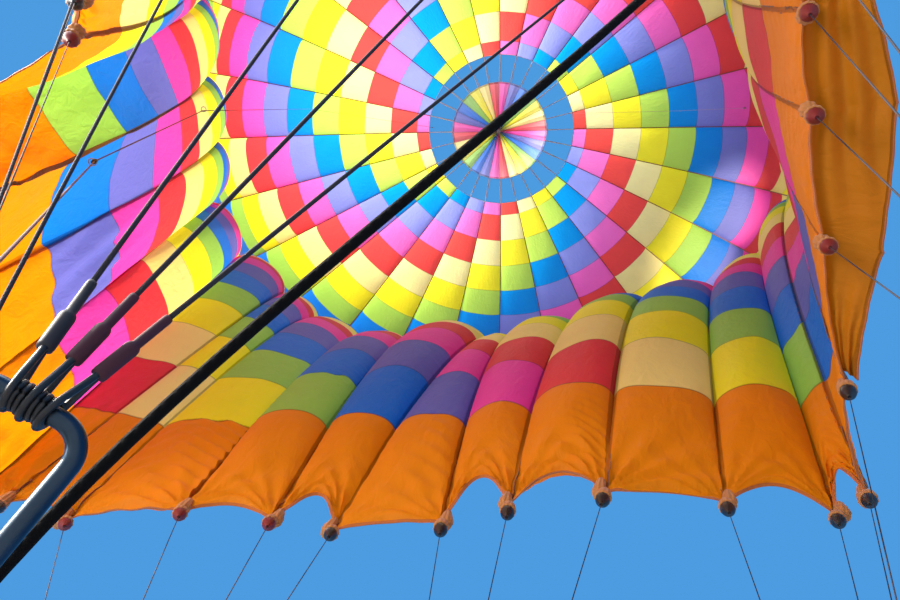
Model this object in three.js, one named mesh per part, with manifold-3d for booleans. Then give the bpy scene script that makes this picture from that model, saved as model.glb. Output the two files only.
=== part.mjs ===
// Hot air balloon envelope with its open parachute vent, control lines, flying wires and carabiners.
// Millimetres, +Z up. The origin is the centre of the load ring that the carabiners hook on.
// The cloth is slack and pushed in by the wind low down, and full above the equator.
import * as THREE from 'three';
import { mergeVertices } from 'three/addons/utils/BufferGeometryUtils.js';
import Module from 'manifold-3d';

const wasm = await Module();
wasm.setup();

// Driving dimensions of the cloth
const goreCount = 28;
const goreAngle = 2 * Math.PI / goreCount;
const wall = 10;
const seamGap = 0.4;
const axisX = -727;
const axisY = -312;
const apexHeight = 24050;
const ventArc = 2500;
const crownBend = 3.763e-8;
const pressureHeight = 14676;
const arcStep = 25;

// Lower meridians: handles of the curve from the equator to the mouth
const mouthHeight = 2500;
const equatorHandle = 5000;
const mouthHandle = 8500;
const seamRise = 1400;

// Lower end of each load tape: x and y from the crown axis, the same at the seam above it. For the gore on
// its right: the bulge a metre above the hem, as a part of the distance between the tapes, and the hem's rise
const tapeEnds = [
  { x: -120, y: 1540, seamX: 30, seamY: 1520, bulge: -0.3, rise: 15 },
  { x: 380, y: 1480, seamX: 410, seamY: 1485, bulge: -0.3, rise: 270 },
  { x: 680, y: 1380, seamX: 830, seamY: 1395, bulge: -0.3, rise: 150 },
  { x: 1090, y: 1300, seamX: 1310, seamY: 1240, bulge: -0.2, rise: 15 },
  { x: 1590, y: 1330, seamX: 1880, seamY: 1300, bulge: -0.3, rise: 150 },
  { x: 2040, y: 1370, seamX: 2340, seamY: 1280, bulge: -0.1, rise: 250 },
  { x: 2150, y: 1270, seamX: 2440, seamY: 1090, bulge: 0.1, rise: 60 },
  { x: 2010, y: 790, seamX: 2410, seamY: 760, bulge: 0.05, rise: 15 },
  { x: 1870, y: 230, seamX: 2220, seamY: 170, bulge: 0, rise: 15 },
  { x: 1770, y: -250, seamX: 2030, seamY: -360, bulge: 0, rise: 15 },
  { x: 1710, y: -600, seamX: 1920, seamY: -790, bulge: 0, rise: 15 },
  { x: 1640, y: -900, seamX: 1830, seamY: -1130, bulge: -0.1, rise: 15 },
  { x: 1570, y: -1170, seamX: 1750, seamY: -1410, bulge: -0.1, rise: 60 },
  { x: 1220, y: -1440, seamX: 1340, seamY: -1710, bulge: -0.25, rise: 80 },
  { x: 600, y: -1470, seamX: 670, seamY: -1770, bulge: -0.3, rise: 80 },
  { x: -50, y: -1500, seamX: -70, seamY: -1800, bulge: -0.3, rise: 60 },
  { x: -620, y: -1350, seamX: -800, seamY: -1640, bulge: 0.2, rise: 40 },
  { x: -980, y: -740, seamX: -1340, seamY: -1130, bulge: 0.1, rise: 0 },
  { x: -1020, y: -610, seamX: -1520, seamY: -820, bulge: -0.1, rise: 15 },
  { x: -1780, y: -310, seamX: -2030, seamY: -610, bulge: 0.1, rise: 40 },
  { x: -1540, y: 20, seamX: -1790, seamY: -170, bulge: 0.1, rise: 15 },
  { x: -1980, y: 520, seamX: -2060, seamY: 350, bulge: -0.1, rise: 60 },
  { x: -1940, y: 1000, seamX: -2170, seamY: 870, bulge: -0.1, rise: 60 },
  { x: -1930, y: 1480, seamX: -2080, seamY: 1380, bulge: -0.05, rise: 40 },
  { x: -1760, y: 1480, seamX: -1770, seamY: 1430, bulge: -0.1, rise: 60 },
  { x: -1430, y: 1550, seamX: -1480, seamY: 1520, bulge: -0.1, rise: 15 },
  { x: -840, y: 1470, seamX: -930, seamY: 1550, bulge: -0.3, rise: 80 },
  { x: -410, y: 1500, seamX: -440, seamY: 1540, bulge: -0.34, rise: 210 },
];

// Cloth between two load tapes, as a part of the distance between them
const fullBulge = 0.14;
const slackBulge = -0.34;
const slackFrom = 0.3;
const slackTo = 0.62;
const lowBulgeFrom = 0.7;
const hemBulge = -0.05;

// The last row but one is this far above the hem, in rows
const hemStep = 0.4;

const columns = 4;
const upperRows = 5;
const lowerRows = 10;
const rowCount = upperRows + lowerRows;

// Parachute vent, pulled down out of the opening and gathered to its hub
const ventPull = 1500;
const ventRadius = 1530;
const ventDip = 620;
const hubRadius = 45;
const hubHeight = 90;
const pleatDepth = 70;
const ventRings = 3;

// Crown ring and the load tapes that cross the opening
const crownRingRadius = 150;
const crownRingBar = 12;
const tapeWidth = 25;
const tapeThickness = 4;

// Load ring circle and its carabiners
const ringRadius = 485;
const eyeHeight = 140;
const carabinerWidth = 66;
const carabinerLength = 108;
const carabinerCorner = 18;
const barRadius = 5;
const gateRadius = 8;
const gateLength = 44;
const collarRadius = 9;
const collarBore = 6.2;
const collarLength = 22;

// Each row: ring angle and turn of the carabiner about its pull in degrees, first load tape, number of tapes
const risers = [
  { ringAngle: -119, turn: 70, firstTape: 12, tapes: 3 },
  { ringAngle: -45, turn: 0, firstTape: 8, tapes: 4 },
  { ringAngle: 40, turn: 0, firstTape: 4, tapes: 4 },
  { ringAngle: 110, turn: 0, firstTape: 1, tapes: 3 },
  { ringAngle: 158, turn: 0, firstTape: 25, tapes: 4 },
  { ringAngle: 182, turn: 0, firstTape: 22, tapes: 3 },
  { ringAngle: 204, turn: 0, firstTape: 18, tapes: 4 },
  { ringAngle: 226, turn: 0, firstTape: 15, tapes: 3 },
];

// End fitting, hem pocket and top of one flying wire: radius, distance from the load tape
const wireProfile = [
  { radius: 10, along: 8 },
  { radius: 38, along: 46 },
  { radius: 30, along: 130 },
  { radius: 1.8, along: 182 },
];
const sleeveRadius = 3.5;
const sleeveLength = 45;
const wireSides = 5;

// Scoop panel, hung outside the hem between two load tapes. Each row: distance outside the hem before the
// reach, part of the reach, and height above the hem
const scoopFrom = 7.25;
const scoopTo = 11;
const scoopEndReach = 30;
const scoopReach = 185;
const scoopTaper = 1.2;
const scoopRows = [
  { outside: 42, reach: 0, height: 95 },
  { outside: 42, reach: 0.42, height: 20 },
  { outside: 42, reach: 1, height: -70 },
];

// Control lines and the crown line
const lineRadius = 4;
const crownLineRadius = 5;
const crownLineAngle = Math.PI / 2 - 10 * goreAngle;
const crownLineGap = 120;

// Colours of the cloth, in the order in which they repeat
const clothColours = [0xe8402c, 0xf2b14a, 0xf7e11d, 0x8fc741, 0x1585e0, 0x7a6cc4, 0xe8479f];
const scoopColour = 0xf08a1e;
const blackColour = 0x17171a;
const redColour = 0xa3161c;
const tanColour = 0xcf8a4a;
const steelColour = 0x8f979f;
const aluminiumColour = 0x4c5a68;
const whiteColour = 0xe9edf2;

const part = new THREE.Group();
const up = new THREE.Vector3(0, 1, 0);

function finish(colour, roughness, metalness) {
  return new THREE.MeshStandardMaterial({ color: colour, roughness, metalness });
}

function addMesh(name, geometry, material) {
  const mesh = new THREE.Mesh(geometry, material);
  mesh.name = name;
  part.add(mesh);
}

// A closed geometry with shared vertices becomes a solid that can be joined and cut
function solid(geometry) {
  const plain = geometry.clone();
  plain.deleteAttribute('normal');
  plain.deleteAttribute('uv');
  const merged = mergeVertices(plain, 0.01);
  const vertProperties = new Float32Array(merged.attributes.position.array);
  const triVerts = new Uint32Array(merged.index.array);
  return new wasm.Manifold(new wasm.Mesh({ numProp: 3, vertProperties, triVerts }));
}

function geometryOf(body) {
  const mesh = body.getMesh();
  const geometry = new THREE.BufferGeometry();
  geometry.setAttribute('position', new THREE.BufferAttribute(new Float32Array(mesh.vertProperties), 3));
  geometry.setIndex(new THREE.BufferAttribute(new Uint32Array(mesh.triVerts), 1));
  geometry.computeVertexNormals();
  return geometry;
}

function joined(geometries) {
  return geometryOf(geometries.map(solid).reduce((whole, piece) => whole.add(piece)));
}

// Meridian of a balloon held up by warm air: its bend grows with its radius and its height
function naturalMeridian() {
  const points = [{ r: 0, drop: 0, bend: 0 }];
  let last = points[0];
  while (last.bend < Math.PI / 2) {
    const rate = crownBend * last.r * (1 - last.drop / pressureHeight);
    const middle = last.bend + rate * arcStep / 2;
    last = {
      r: last.r + arcStep * Math.cos(middle),
      drop: last.drop + arcStep * Math.sin(middle),
      bend: last.bend + rate * arcStep,
    };
    points.push(last);
  }
  return points;
}

const meridian = naturalMeridian();
const equator = meridian[meridian.length - 1];
const equatorArc = (meridian.length - 1) * arcStep;

function crownPoint(angle, arc) {
  const place = Math.min(arc / arcStep, meridian.length - 1.001);
  const low = Math.floor(place);
  const r = THREE.MathUtils.lerp(meridian[low].r, meridian[low + 1].r, place - low);
  const drop = THREE.MathUtils.lerp(meridian[low].drop, meridian[low + 1].drop, place - low);
  return new THREE.Vector3(axisX + r * Math.cos(angle), axisY + r * Math.sin(angle), apexHeight - drop);
}

// Place on the hem and direction of the cloth there, between the two nearest load tapes
function mouthAt(angle) {
  const place = THREE.MathUtils.euclideanModulo((Math.PI / 2 - angle) / goreAngle, goreCount);
  const left = tapeEnds[Math.floor(place) % goreCount];
  const right = tapeEnds[(Math.floor(place) + 1) % goreCount];
  const part01 = place - Math.floor(place);
  const between = (column) => THREE.MathUtils.lerp(left[column], right[column], part01);
  const end = new THREE.Vector3(axisX + between('x'), axisY + between('y'), mouthHeight);
  const seam = new THREE.Vector3(axisX + between('seamX'), axisY + between('seamY'), mouthHeight + seamRise);
  return { end, rise: seam.sub(end).normalize() };
}

// One curve from the equator down to the mouth, upright at the equator and leaning out at the mouth
function lowerCurve(angle) {
  const top = crownPoint(angle, equatorArc);
  const { end, rise } = mouthAt(angle);
  const topHandle = top.clone().setZ(top.z - equatorHandle);
  const endHandle = end.clone().addScaledVector(rise, mouthHandle);
  return new THREE.CubicBezierCurve3(top, topHandle, endHandle, end);
}

// Row 0 is the edge of the vent, row upperRows the equator and the last row the hem
function tapePoint(angle, row) {
  if (row <= upperRows) {
    return crownPoint(angle, THREE.MathUtils.lerp(ventArc, equatorArc, row / upperRows));
  }
  return lowerCurve(angle).getPoint((row - upperRows) / lowerRows);
}

function bulgeAt(gore, row) {
  const down = row / rowCount;
  const slack = THREE.MathUtils.smoothstep(down, slackFrom, slackTo);
  const low = THREE.MathUtils.smoothstep(down, lowBulgeFrom, 1);
  const hem = THREE.MathUtils.smoothstep(row, rowCount - hemStep, rowCount);
  const upper = THREE.MathUtils.lerp(fullBulge, slackBulge, slack);
  const above = THREE.MathUtils.lerp(upper, tapeEnds[gore].bulge, low);
  return THREE.MathUtils.lerp(above, hemBulge, hem);
}

// A point of the cloth: angle of the left tape, part of the way across the gore, and row
function clothPoint(gore, across, row) {
  const left = Math.PI / 2 - gore * goreAngle;
  const right = left - goreAngle;
  const lift = tapeEnds[gore].rise * lowerRows / (3 * mouthHandle);
  const hem = THREE.MathUtils.smoothstep(row, rowCount - hemStep, rowCount);
  const height = row - hem * lift * Math.sin(Math.PI * across);
  const a = tapePoint(left, height);
  const b = tapePoint(right, height);
  const middle = (left + right) / 2;
  const above = tapePoint(middle, Math.max(height - 0.3, 0));
  const below = tapePoint(middle, Math.min(height + 0.3, rowCount));
  const down = below.sub(above).normalize();
  const sideways = b.clone().sub(a);
  const outward = sideways.clone().cross(down).normalize();
  const depth = bulgeAt(gore, height) * sideways.length();
  const arch = Math.sqrt(Math.max(0, 1 - (2 * across - 1) ** 2));
  return a.lerp(b, across).addScaledVector(outward, depth * arch);
}

// The whole cloth as a closed ring of columns, so that neighbours share their seam normals
function clothGrid() {
  const places = Array.from({ length: rowCount }, (_, row) => row);
  return [...places, rowCount - hemStep, rowCount].map((row) => {
    const ring = [];
    for (let gore = 0; gore < goreCount; gore += 1) {
      for (let column = 0; column < columns; column += 1) {
        ring.push(clothPoint(gore, column / columns, row));
      }
    }
    return ring;
  });
}

function faceNormal(grid, row, column) {
  const count = grid[0].length;
  const next = (column + 1) % count;
  const down = grid[row + 1][column].clone().sub(grid[row][next]);
  const side = grid[row + 1][next].clone().sub(grid[row][column]);
  return side.cross(down).normalize().negate();
}

// Offset of each grid point so that the two skins stay one wall thickness apart
function clothOffsets(grid) {
  const count = grid[0].length;
  const last = grid.length - 2;
  return grid.map((ring, row) => ring.map((point, column) => {
    const rows = [Math.max(row - 1, 0), Math.min(row, last)];
    const sides = [(column + count - 1) % count, column];
    const normals = rows.flatMap((r) => sides.map((c) => faceNormal(grid, r, c)));
    const mean = normals.reduce((sum, normal) => sum.add(normal), new THREE.Vector3()).normalize();
    const spread = Math.max(0.5, Math.min(...normals.map((normal) => normal.dot(mean))));
    return mean.multiplyScalar(wall / spread);
  }));
}

const grid = clothGrid();
const offsets = clothOffsets(grid);

// Closed body between two skins, each a list of rows of points
function shellGeometry(outer, inner) {
  const rows = outer.length;
  const wide = outer[0].length;
  const positions = [...outer.flat(), ...inner.flat()].flatMap((point) => point.toArray());
  const skin = rows * wide;
  const index = [];
  const quad = (a, b, c, d) => index.push(a, b, c, a, c, d);
  for (let row = 0; row < rows - 1; row += 1) {
    for (let column = 0; column < wide - 1; column += 1) {
      const a = row * wide + column;
      quad(a, a + 1, a + wide + 1, a + wide);
      quad(skin + a, skin + a + wide, skin + a + wide + 1, skin + a + 1);
    }
    const left = row * wide;
    const right = left + wide - 1;
    quad(left, left + wide, skin + left + wide, skin + left);
    quad(right, skin + right, skin + right + wide, right + wide);
  }
  const bottom = (rows - 1) * wide;
  for (let column = 0; column < wide - 1; column += 1) {
    quad(column, skin + column, skin + column + 1, column + 1);
    quad(bottom + column, bottom + column + 1, skin + bottom + column + 1, skin + bottom + column);
  }
  const geometry = new THREE.BufferGeometry();
  geometry.setAttribute('position', new THREE.Float32BufferAttribute(positions, 3));
  geometry.setIndex(index);
  geometry.computeVertexNormals();
  return geometry;
}

// A gore's outer skin at depth 0 or inner skin at depth 1, its two sides drawn in by half the seam gap
function goreSkin(gore, depth) {
  return grid.map((ring, row) => Array.from({ length: columns + 1 }, (_, column) => {
    const place = (gore * columns + column) % ring.length;
    const point = ring[place].clone().addScaledVector(offsets[row][place], depth);
    if (column === 0 || column === columns) {
      const inside = ring[(gore * columns + columns / 2) % ring.length];
      const along = inside.clone().sub(ring[place]).setZ(0).normalize();
      point.addScaledVector(along, seamGap / 2);
    }
    return point;
  }));
}

for (let gore = 0; gore < goreCount; gore += 1) {
  const name = `gore_${String(gore + 1).padStart(2, '0')}`;
  const geometry = shellGeometry(goreSkin(gore, 0), goreSkin(gore, 1));
  addMesh(name, geometry, finish(clothColours[gore % clothColours.length], 0.6, 0));
}

// The scoop panel's inner skin at lift 0 or outer skin at lift wall: it reaches outward and down
function scoopSkin(lift) {
  const hem = grid[grid.length - 1];
  const count = (scoopTo - scoopFrom) * columns + 1;
  const places = Array.from({ length: count }, (_, k) => scoopFrom * columns + k);
  const fall = scoopRows[0].height - scoopRows[scoopRows.length - 1].height;
  return scoopRows.map(({ outside, reach, height }) => places.map((place, k) => {
    const side = Math.sin(Math.PI * k / (count - 1));
    const full = scoopEndReach + scoopReach * side ** scoopTaper;
    const base = hem[place].clone();
    const out = new THREE.Vector3(base.x - axisX, base.y - axisY, 0).normalize();
    const normal = out.clone().multiplyScalar(fall).setZ(full).normalize();
    base.addScaledVector(out, outside + reach * full).setZ(mouthHeight + height);
    return base.addScaledVector(normal, lift);
  }));
}

addMesh('scoop_panel', shellGeometry(scoopSkin(wall), scoopSkin(0)), finish(scoopColour, 0.6, 0));

function rod(from, to, radius) {
  const along = to.clone().sub(from);
  const geometry = new THREE.CylinderGeometry(radius, radius, along.length(), wireSides);
  const turn = new THREE.Quaternion().setFromUnitVectors(up, along.clone().normalize());
  geometry.applyQuaternion(turn);
  return geometry.translate(...from.clone().add(to).multiplyScalar(0.5).toArray());
}

function block(at, radius) {
  return new THREE.IcosahedronGeometry(radius, 0).translate(at.x, at.y, at.z);
}

// A round bar bent along a closed flat path; across is square to the path's plane
function closedBar(centres, across, radius, sides) {
  const count = centres.length;
  const positions = [];
  const index = [];
  centres.forEach((centre, step) => {
    const along = centres[(step + 1) % count].clone().sub(centres[(step + count - 1) % count]);
    const out = along.cross(across).normalize();
    for (let side = 0; side < sides; side += 1) {
      const turn = 2 * Math.PI * side / sides;
      const point = centre.clone()
        .addScaledVector(out, radius * Math.cos(turn))
        .addScaledVector(across, radius * Math.sin(turn));
      positions.push(point.x, point.y, point.z);
      const nextStep = (step + 1) % count * sides;
      const nextSide = (side + 1) % sides;
      const a = step * sides + side;
      const b = step * sides + nextSide;
      index.push(a, nextStep + nextSide, b, a, nextStep + side, nextStep + nextSide);
    }
  });
  const geometry = new THREE.BufferGeometry();
  geometry.setAttribute('position', new THREE.Float32BufferAttribute(positions, 3));
  geometry.setIndex(index);
  return geometry;
}

// Crown: load tapes run on over the opening to the crown ring
function crownGeometry() {
  const apex = new THREE.Vector3(axisX, axisY, apexHeight + wall / 2);
  const ring = new THREE.TorusGeometry(crownRingRadius, crownRingBar, 6, goreCount);
  ring.translate(apex.x, apex.y, apex.z);
  const pieces = [ring];
  for (let tape = 0; tape < goreCount; tape += 1) {
    const angle = Math.PI / 2 - tape * goreAngle;
    const edge = crownPoint(angle, ventArc);
    const length = Math.hypot(edge.x - apex.x, edge.y - apex.y) - crownRingRadius - 2;
    const strap = new THREE.BoxGeometry(length, tapeWidth, tapeThickness);
    const slope = Math.atan2(apex.z - edge.z - wall / 2, length);
    strap.rotateY(slope);
    strap.translate(crownRingRadius + length / 2, 0, (edge.z + wall / 2 - apex.z) / 2);
    strap.rotateZ(angle);
    pieces.push(strap.translate(apex.x, apex.y, apex.z));
  }
  return joined(pieces);
}

addMesh('crown_ring_tapes', crownGeometry(), finish(whiteColour, 0.7, 0));

// Parachute: pleats stand out at the rim and run in to the hub
function ventPoint(ring, column, side) {
  const part01 = ring / ventRings;
  const radius = THREE.MathUtils.lerp(hubRadius + 1, ventRadius, part01);
  const angle = Math.PI / 2 - column * goreAngle / 2;
  const pleat = (column % 2 === 0 ? -0.5 : 0.5) * pleatDepth * Math.sqrt(part01);
  const drop = ventPull + ventDip * (1 - part01) ** 1.6 - pleat - side * wall;
  return [axisX + radius * Math.cos(angle), axisY + radius * Math.sin(angle), apexHeight - drop];
}

function ventGeometry() {
  const count = goreCount * 2;
  const positions = [];
  for (const side of [0, 1]) {
    for (let ring = 0; ring <= ventRings; ring += 1) {
      for (let column = 0; column < count; column += 1) {
        positions.push(...ventPoint(ring, column, side));
      }
    }
  }
  const skin = (ventRings + 1) * count;
  const index = [];
  const quad = (a, b, c, d) => index.push(a, b, c, a, c, d);
  for (let column = 0; column < count; column += 1) {
    const next = (column + 1) % count;
    for (let ring = 0; ring < ventRings; ring += 1) {
      const a = ring * count + column;
      const b = ring * count + next;
      quad(a, a + count, b + count, b);
      quad(skin + a, skin + b, skin + b + count, skin + a + count);
    }
    const rim = ventRings * count;
    quad(column, next, skin + next, skin + column);
    quad(rim + column, skin + rim + column, skin + rim + next, rim + next);
  }
  const geometry = new THREE.BufferGeometry();
  geometry.setAttribute('position', new THREE.Float32BufferAttribute(positions, 3));
  geometry.setIndex(index);
  geometry.computeVertexNormals();
  return geometry;
}

addMesh('parachute_panel', ventGeometry(), finish(clothColours[2], 0.6, 0));

const hubAt = new THREE.Vector3(axisX, axisY, apexHeight - ventPull - ventDip);
const hub = new THREE.CylinderGeometry(hubRadius, hubRadius, hubHeight, 12).rotateX(Math.PI / 2);
addMesh('parachute_hub', hub.translate(hubAt.x, hubAt.y, hubAt.z), finish(steelColour, 0.4, 0.9));

// Lower end of a load tape, in the middle of the cloth's thickness
function tapeEnd(tape) {
  const place = (tape % goreCount) * columns;
  return grid[grid.length - 1][place].clone().addScaledVector(offsets[grid.length - 1][place], 0.5);
}

function riserFrame(riser) {
  const angle = THREE.MathUtils.degToRad(riser.ringAngle);
  const eye = new THREE.Vector3(ringRadius * Math.cos(angle), ringRadius * Math.sin(angle), eyeHeight);
  const pull = new THREE.Vector3();
  for (let k = 0; k < riser.tapes; k += 1) {
    pull.add(tapeEnd(riser.firstTape + k).sub(eye).normalize());
  }
  pull.normalize();
  const out = new THREE.Vector3(Math.cos(angle), Math.sin(angle), 0);
  const bar = out.cross(pull).normalize().applyAxisAngle(pull, THREE.MathUtils.degToRad(riser.turn));
  return { eye, pull, bar };
}

// Collar round the carabiner's bar with one wire to each load tape
function wiresGeometry(riser) {
  const { eye, bar } = riserFrame(riser);
  const half = collarLength / 2;
  const profile = [[collarBore, -half], [collarRadius, -half], [collarRadius, half], [collarBore, half]];
  const section = [...profile, profile[0]].map(([x, y]) => new THREE.Vector2(x, y));
  const collar = new THREE.LatheGeometry(section, 10);
  collar.applyQuaternion(new THREE.Quaternion().setFromUnitVectors(up, bar));
  const pieces = [collar.translate(eye.x, eye.y, eye.z)];
  for (let k = 0; k < riser.tapes; k += 1) {
    const top = tapeEnd(riser.firstTape + k);
    const shift = (k - (riser.tapes - 1) / 2) * collarLength / riser.tapes;
    const foot = eye.clone().addScaledVector(bar, shift);
    const along = foot.clone().sub(top);
    const length = along.length() - (collarBore + collarRadius) / 2;
    const points = [new THREE.Vector2(0, wireProfile[0].along)];
    wireProfile.forEach((row) => points.push(new THREE.Vector2(row.radius, row.along)));
    points.push(new THREE.Vector2(wireProfile[wireProfile.length - 1].radius, length - sleeveLength));
    points.push(new THREE.Vector2(sleeveRadius, length - sleeveLength));
    points.push(new THREE.Vector2(sleeveRadius, length));
    points.push(new THREE.Vector2(0, length));
    const wire = new THREE.LatheGeometry(points, wireSides);
    wire.applyQuaternion(new THREE.Quaternion().setFromUnitVectors(up, along.normalize()));
    pieces.push(wire.translate(top.x, top.y, top.z));
  }
  return joined(pieces);
}

// Carabiner: a rounded bar with a screwed gate on one long side, its upper bar in the collar
function carabinerGeometry(riser) {
  const { eye, pull, bar } = riserFrame(riser);
  const wide = carabinerWidth / 2 - carabinerCorner;
  const tall = carabinerLength / 2 - carabinerCorner;
  const outline = [];
  const corners = [[wide, tall, 0], [-wide, tall, 1], [-wide, -tall, 2], [wide, -tall, 3]];
  for (const [x, y, quarter] of corners) {
    for (const step of [0, 0.25, 0.5, 0.75, 1]) {
      const turn = (quarter + step) * Math.PI / 2;
      outline.push([x + carabinerCorner * Math.cos(turn), y + carabinerCorner * Math.sin(turn)]);
    }
  }
  const centre = eye.clone().addScaledVector(pull, -carabinerLength / 2);
  const place = ([x, y]) => centre.clone().addScaledVector(bar, x).addScaledVector(pull, y);
  const body = closedBar(outline.map(place), bar.clone().cross(pull), barRadius, 6);
  const gate = rod(place([carabinerWidth / 2, -gateLength / 2]), place([carabinerWidth / 2, gateLength / 2]),
    gateRadius);
  return joined([body, gate]);
}

risers.forEach((riser, k) => {
  addMesh(`flying_wires_${k + 1}`, wiresGeometry(riser), finish(tanColour, 0.6, 0.2));
  addMesh(`carabiner_${k + 1}`, carabinerGeometry(riser), finish(aluminiumColour, 0.35, 0.9));
});

// Control lines run down inside the cloth; each one has an eye at its upper points
const ventLine = [
  { x: -3050, y: -470, z: 23780, eye: 28 },
  { x: -6934, y: -1157, z: 22311, eye: 34 },
  { x: -2650, y: -710, z: 5460, eye: 24 },
  { x: -2330, y: -400, z: 3410, eye: 34 },
  { x: -412, y: -286, z: 6, eye: 10 },
];
const closingLine = [
  { x: 1590, y: -830, z: 23780, eye: 28 },
  { x: 5007, y: -820, z: 22732, eye: 28 },
  { x: 6454, y: -834, z: 21009, eye: 28 },
  { x: 2800, y: -672, z: 9040, eye: 28 },
];

function lineGeometry(rows) {
  const points = rows.map(({ x, y, z }) => new THREE.Vector3(x, y, z));
  const lengths = points.slice(1).map((point, k) => rod(points[k], point, lineRadius));
  const eyes = points.map((point, k) => block(point, rows[k].eye));
  return joined([...lengths, ...eyes]);
}

addMesh('vent_line', lineGeometry(ventLine), finish(redColour, 0.7, 0));
addMesh('closing_line', lineGeometry(closingLine), finish(whiteColour, 0.7, 0));

// Crown line: free below and beside the envelope, then over the cloth to the crown ring
const crownLineFree = [
  { x: -450, y: -105, z: 110 },
  { x: -345, y: -268, z: 217 },
  { x: 130, y: -679, z: 687 },
  { x: 1920, y: -2230, z: 2460 },
  { x: 3100, y: -3370, z: 4400 },
  { x: 4100, y: -4170, z: 7500 },
  { x: 4840, y: -4760, z: 11500 },
  { x: 5300, y: -5110, z: 15500 },
];
const crownLineArcs = [1, 0.85, 0.7, 0.55, 0.4, 0.28];

function crownLineGeometry() {
  const out = new THREE.Vector3(Math.cos(crownLineAngle), Math.sin(crownLineAngle), 0);
  const points = crownLineFree.map(({ x, y, z }) => new THREE.Vector3(x, y, z));
  for (const share of crownLineArcs) {
    const arc = equatorArc * share;
    const slope = crownPoint(crownLineAngle, arc - arcStep).sub(crownPoint(crownLineAngle, arc)).normalize();
    const clear = out.clone().multiplyScalar(slope.z).setZ(-slope.dot(out)).multiplyScalar(crownLineGap);
    points.push(crownPoint(crownLineAngle, arc).add(clear));
  }
  const top = apexHeight + wall / 2 + crownRingBar + crownLineRadius + 2;
  points.push(new THREE.Vector3(axisX, axisY, top + 20).addScaledVector(out, crownRingRadius * 4));
  points.push(new THREE.Vector3(axisX, axisY, top).addScaledVector(out, crownRingRadius));
  const section = new THREE.Shape();
  section.absarc(0, 0, crownLineRadius, 0, 2 * Math.PI);
  const extrudePath = new THREE.CatmullRomCurve3(points, false, 'centripetal');
  return new THREE.ExtrudeGeometry(section, { extrudePath, steps: 48, curveSegments: 4, bevelEnabled: false });
}

addMesh('crown_line', crownLineGeometry(), finish(blackColour, 0.8, 0));

export default part;
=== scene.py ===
# Hot air balloon envelope, seen up through its mouth: cloth, parachute vent, lines, wires and carabiners.
import math

import bpy
import numpy as np
from mathutils import Matrix, Vector


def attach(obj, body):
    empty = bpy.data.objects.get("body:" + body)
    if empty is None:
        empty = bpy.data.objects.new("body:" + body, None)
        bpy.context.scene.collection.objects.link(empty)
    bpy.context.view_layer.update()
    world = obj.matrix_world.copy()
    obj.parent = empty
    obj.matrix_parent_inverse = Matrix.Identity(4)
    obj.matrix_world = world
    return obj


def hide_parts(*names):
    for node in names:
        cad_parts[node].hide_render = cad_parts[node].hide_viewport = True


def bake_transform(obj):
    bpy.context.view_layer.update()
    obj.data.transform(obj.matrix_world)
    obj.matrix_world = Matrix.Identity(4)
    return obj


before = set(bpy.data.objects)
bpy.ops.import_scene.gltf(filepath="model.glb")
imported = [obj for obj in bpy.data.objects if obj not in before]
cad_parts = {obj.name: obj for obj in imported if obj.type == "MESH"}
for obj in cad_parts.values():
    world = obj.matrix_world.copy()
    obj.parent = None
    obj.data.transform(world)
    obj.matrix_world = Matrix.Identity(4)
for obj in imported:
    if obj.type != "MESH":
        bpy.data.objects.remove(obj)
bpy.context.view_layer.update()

# Camera: place and axes in the frame
viewpoint = {
    "place": (0, -0.55, -0.14),
    "right": (0.99450, 0.02218, 0.10238),
    "up": (-0.00443, -0.96754, 0.25266),
    "forward": (-0.10466, 0.25173, 0.96212),
    "lens": {"sensor_width": 36, "lens": 26.93, "clip_start": 0.02, "clip_end": 400},
}


def addObject(name, data, settings=()):
    for key, value in dict(settings).items():
        setattr(data, key, value)
    made = bpy.data.objects.new(name, data)
    bpy.context.scene.collection.objects.link(made)
    return made


def makeCamera(values):
    camera = addObject("camera", bpy.data.cameras.new("camera"), values["lens"])
    turn = Matrix((values["right"], values["up"], [-v for v in values["forward"]])).transposed().to_4x4()
    camera.matrix_world = Matrix.Translation(values["place"]) @ turn
    bpy.context.scene.camera = camera


makeCamera(viewpoint)


def linear(hexColour):  # sRGB hex to linear red, green, blue, alpha
    values = [int(hexColour[i:i + 2], 16) / 255 for i in (0, 2, 4)]
    return tuple(v / 12.92 if v <= 0.04045 else ((v + 0.055) / 1.055) ** 2.4 for v in values) + (1.0,)


def shaded(hexColour, share, lift=0.0):  # the linear colour times a share, plus a little light
    return tuple(min(1, c * share + lift) for c in linear(hexColour)[:3]) + (1.0,)


# One node. A value is a setting, the number or colour of an input, or the output that feeds it.
def addNode(tree, kind, values, output=0):
    node = tree.nodes.new("ShaderNode" + kind)
    for key, value in values.items():
        if isinstance(value, bpy.types.NodeSocket):
            tree.links.new(value, node.inputs[key])
        elif isinstance(key, int) or key in node.inputs:
            node.inputs[key].default_value = value
        else:
            setattr(node, key, value)
    return node.outputs[output] if node.outputs else node


def newMaterial(name, finish, *values, **more):  # finish, one of the functions below, adds its nodes
    material = bpy.data.materials.new(name)
    material.use_nodes = True
    tree = material.node_tree
    tree.nodes.clear()
    addNode(tree, "OutputMaterial", {"Surface": finish(tree, *values, **more)})
    return material


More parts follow.
